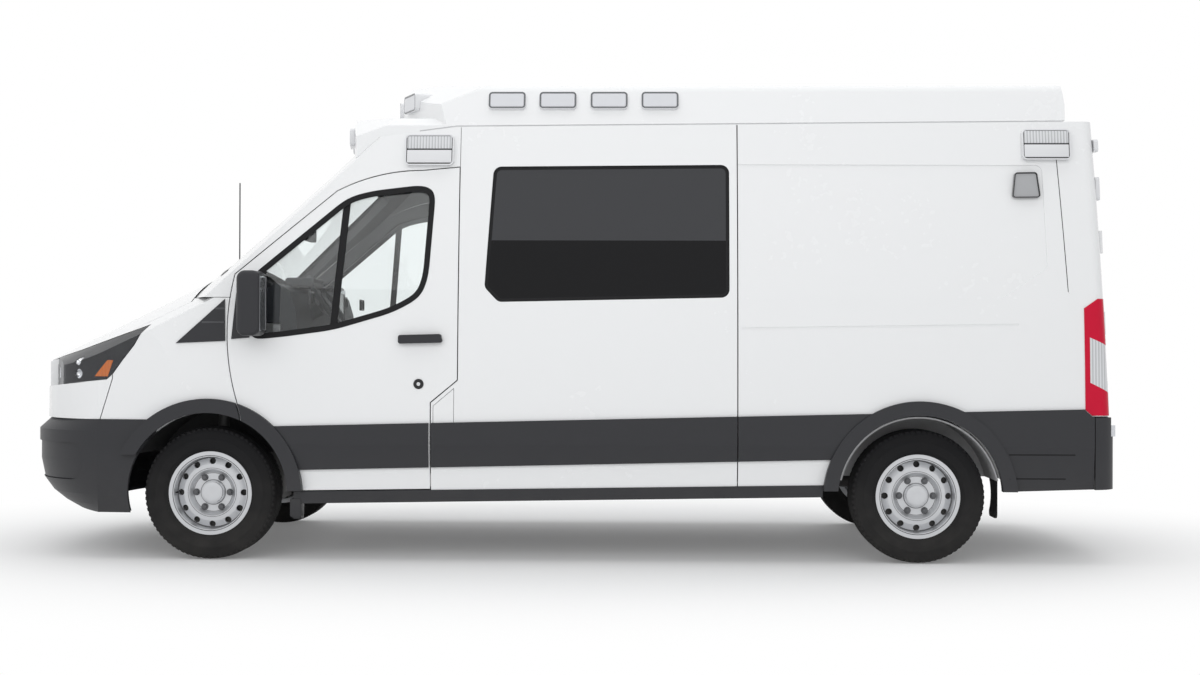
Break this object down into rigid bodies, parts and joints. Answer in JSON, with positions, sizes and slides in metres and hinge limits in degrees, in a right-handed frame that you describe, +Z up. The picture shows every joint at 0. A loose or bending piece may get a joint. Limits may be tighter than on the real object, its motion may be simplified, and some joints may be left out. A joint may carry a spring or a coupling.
{
  "type": "wheelchair accessible ambulance van",
  "caption": "White long-wheelbase van with a raised roof, dark lower cladding, roof warning lamps, hinged cab doors, twin rear doors, opening bonnet and steered, rolling wheels.",
  "frame": {"origin": "on the ground, midway between the axles on the centre plane", "axes": "+X forward, +Y to the van's left, +Z up"},
  "size_m": [5.98, 2.474, 2.618],
  "materials": {
    "white_paint": "gloss white paint",
    "dark_cladding": "grained dark grey plastic",
    "bare_metal": "dull bare sheet",
    "black_steel": "black chassis paint",
    "cast_steel": "cast",
    "black_plastic": "matt black plastic",
    "grey_cloth": "woven seat cloth",
    "clear_glass": "light tint",
    "privacy_glass": "dark privacy tint",
    "lamp_glass": "clear lens",
    "red_lens": "red lens",
    "silver_steel": "silver painted steel",
    "tyre_rubber": "matt black rubber"
  },
  "bodies": {
    "body": {"roof_cap": "white_paint", "cab_frame": "white_paint", "front_fenders": "white_paint", "front_fascia": "white_paint", "left_mid_panel": "white_paint", "right_sliding_door": "white_paint", "quarter_panels": "white_paint", "rear_frame": "white_paint", "body_mouldings": "dark_cladding", "sill_boards": "dark_cladding", "front_bumper": "dark_cladding", "rear_bumper": "dark_cladding", "grille": "dark_cladding", "wheel_houses": "bare_metal", "floor_pan": "bare_metal", "chassis_rails": "black_steel", "front_subframe": "black_steel", "rear_axle": "black_steel", "leaf_springs": "black_steel", "engine_block": "cast_steel", "exhaust": "bare_metal", "fuel_tank": "black_plastic", "dashboard": "black_plastic", "cab_mirror": "black_plastic", "aerial": "black_plastic", "seats": "grey_cloth", "windscreen": "clear_glass", "side_glass": "privacy_glass", "headlamps": "lamp_glass", "tail_lamps": "red_lens", "warning_lamps": "lamp_glass", "scene_lamps": "lamp_glass", "mud_flaps": "black_plastic"},
    "left_front_door": {"left_door": "white_paint", "left_door_trim": "dark_cladding", "left_door_glass": "clear_glass"},
    "right_front_door": {"right_door": "white_paint", "right_door_trim": "dark_cladding", "right_door_glass": "clear_glass"},
    "left_back_door": {"left_rear_door": "white_paint", "left_rear_glass": "privacy_glass"},
    "right_back_door": {"right_rear_door": "white_paint", "right_rear_glass": "privacy_glass"},
    "bonnet_lid": {"bonnet": "white_paint"},
    "left_steering_knuckle": {"left_knuckle": "cast_steel"},
    "right_steering_knuckle": {"right_knuckle": "cast_steel"},
    "front_left_wheel": {"front_left_rim": "silver_steel", "front_left_tyre": "tyre_rubber"},
    "front_right_wheel": {"front_right_rim": "silver_steel", "front_right_tyre": "tyre_rubber"},
    "rear_left_wheel": {"rear_left_rim": "silver_steel", "rear_left_tyre": "tyre_rubber"},
    "rear_right_wheel": {"rear_right_rim": "silver_steel", "rear_right_tyre": "tyre_rubber"},
    "drivers_wheel": {"steering_wheel": "black_plastic"}
  },
  "joints": [
    {"name": "left_front_door_hinge", "type": "hinge", "parent": "body", "child": "left_front_door", "pos_m": [1.776, 1.03, 1], "axis": [0, 0, -1], "range_deg": [0, 70]},
    {"name": "right_front_door_hinge", "type": "hinge", "parent": "body", "child": "right_front_door", "pos_m": [1.776, -1.03, 1], "axis": [0, 0, 1], "range_deg": [0, 70]},
    {"name": "left_back_door_hinge", "type": "hinge", "parent": "body", "child": "left_back_door", "pos_m": [-2.885, 0.886, 0.75058], "axis": [-0.0384, 0, -0.9993], "range_deg": [0, 180]},
    {"name": "right_back_door_hinge", "type": "hinge", "parent": "body", "child": "right_back_door", "pos_m": [-2.885, -0.886, 0.75058], "axis": [0.0384, 0, 0.9993], "range_deg": [0, 180]},
    {"name": "bonnet_hinge", "type": "hinge", "parent": "body", "child": "bonnet_lid", "pos_m": [2.002, 0, 1.533], "axis": [0, -1, 0], "range_deg": [0, 55]},
    {"name": "left_steer", "type": "hinge", "parent": "body", "child": "left_steering_knuckle", "pos_m": [1.875, 0.815, 0.205], "axis": [0, -0.21, 0.9777], "range_deg": [-35, 35]},
    {"name": "right_steer", "type": "hinge", "parent": "body", "child": "right_steering_knuckle", "pos_m": [1.875, -0.815, 0.205], "axis": [0, 0.21, 0.9777], "range_deg": [-35, 35]},
    {"name": "front_left_roll", "type": "hinge", "parent": "left_steering_knuckle", "child": "front_left_wheel", "pos_m": [1.875, 0.87, 0.352], "axis": [0, 1, 0], "continuous": true},
    {"name": "front_right_roll", "type": "hinge", "parent": "right_steering_knuckle", "child": "front_right_wheel", "pos_m": [1.875, -0.87, 0.352], "axis": [0, 1, 0], "continuous": true},
    {"name": "rear_left_roll", "type": "hinge", "parent": "body", "child": "rear_left_wheel", "pos_m": [-1.875, 0.87, 0.352], "axis": [0, 1, 0], "continuous": true},
    {"name": "rear_right_roll", "type": "hinge", "parent": "body", "child": "rear_right_wheel", "pos_m": [-1.875, -0.87, 0.352], "axis": [0, 1, 0], "continuous": true},
    {"name": "drivers_wheel_turn", "type": "hinge", "parent": "body", "child": "drivers_wheel", "pos_m": [1.352, 0.44, 1.38], "axis": [-0.809, 0, 0.5878], "range_deg": [-560, 560]}
  ],
  "couplings": [
    {"joint": "right_steer", "follows": "left_steer", "ratio": 1},
    {"joint": "drivers_wheel_turn", "follows": "left_steer", "ratio": 16}
  ]
}
